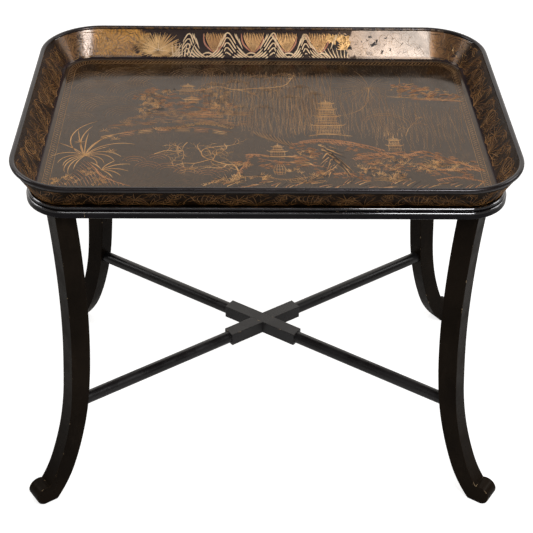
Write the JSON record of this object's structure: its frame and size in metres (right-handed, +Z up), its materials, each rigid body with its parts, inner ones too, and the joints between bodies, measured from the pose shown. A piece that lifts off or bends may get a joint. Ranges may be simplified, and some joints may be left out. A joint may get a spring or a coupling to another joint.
{
  "type": "painted tray table",
  "caption": "Deep lacquered tray with a flared wall and a painted gold landscape, lifting off a black wooden stand with curved scroll-footed legs and a crossed stretcher.",
  "frame": {"origin": "on the floor, midway between the four feet and under the middle of the tray", "axes": "+Z up, +X along the tray's length to the picture's right, +Y to the back, away from the picture's viewer"},
  "size_m": [0.7966, 0.5626, 0.63],
  "materials": {
    "painted_lacquer": "gloss",
    "black_bead": "gloss",
    "iron_wire": "matte",
    "frame_wood": "gloss",
    "leg_wood": "satin",
    "stretcher_wood": "satin",
    "beech_dowel": "matte",
    "screw_steel": "satin"
  },
  "bodies": {
    "stand": {"front_rail": "frame_wood", "back_rail": "frame_wood", "left_rail": "frame_wood", "right_rail": "frame_wood", "front_left_corner": "frame_wood", "front_right_corner": "frame_wood", "back_left_corner": "frame_wood", "back_right_corner": "frame_wood", "frame_dowels": "beech_dowel", "front_left_leg": "leg_wood", "front_right_leg": "leg_wood", "back_left_leg": "leg_wood", "back_right_leg": "leg_wood", "leg_screws": "screw_steel", "lower_cross_bar": "stretcher_wood", "upper_cross_bar": "stretcher_wood", "cross_screw": "screw_steel", "front_left_rod": "stretcher_wood", "front_right_rod": "stretcher_wood", "back_left_rod": "stretcher_wood", "back_right_rod": "stretcher_wood"},
    "tray": {"tray_body": "painted_lacquer", "rim_bead": "black_bead", "rim_wire": "iron_wire"}
  },
  "joints": [
    {"name": "tray_lift", "type": "slide", "parent": "stand", "child": "tray", "axis": [0, 0, 1], "range_m": [0, 0.08]}
  ]
}
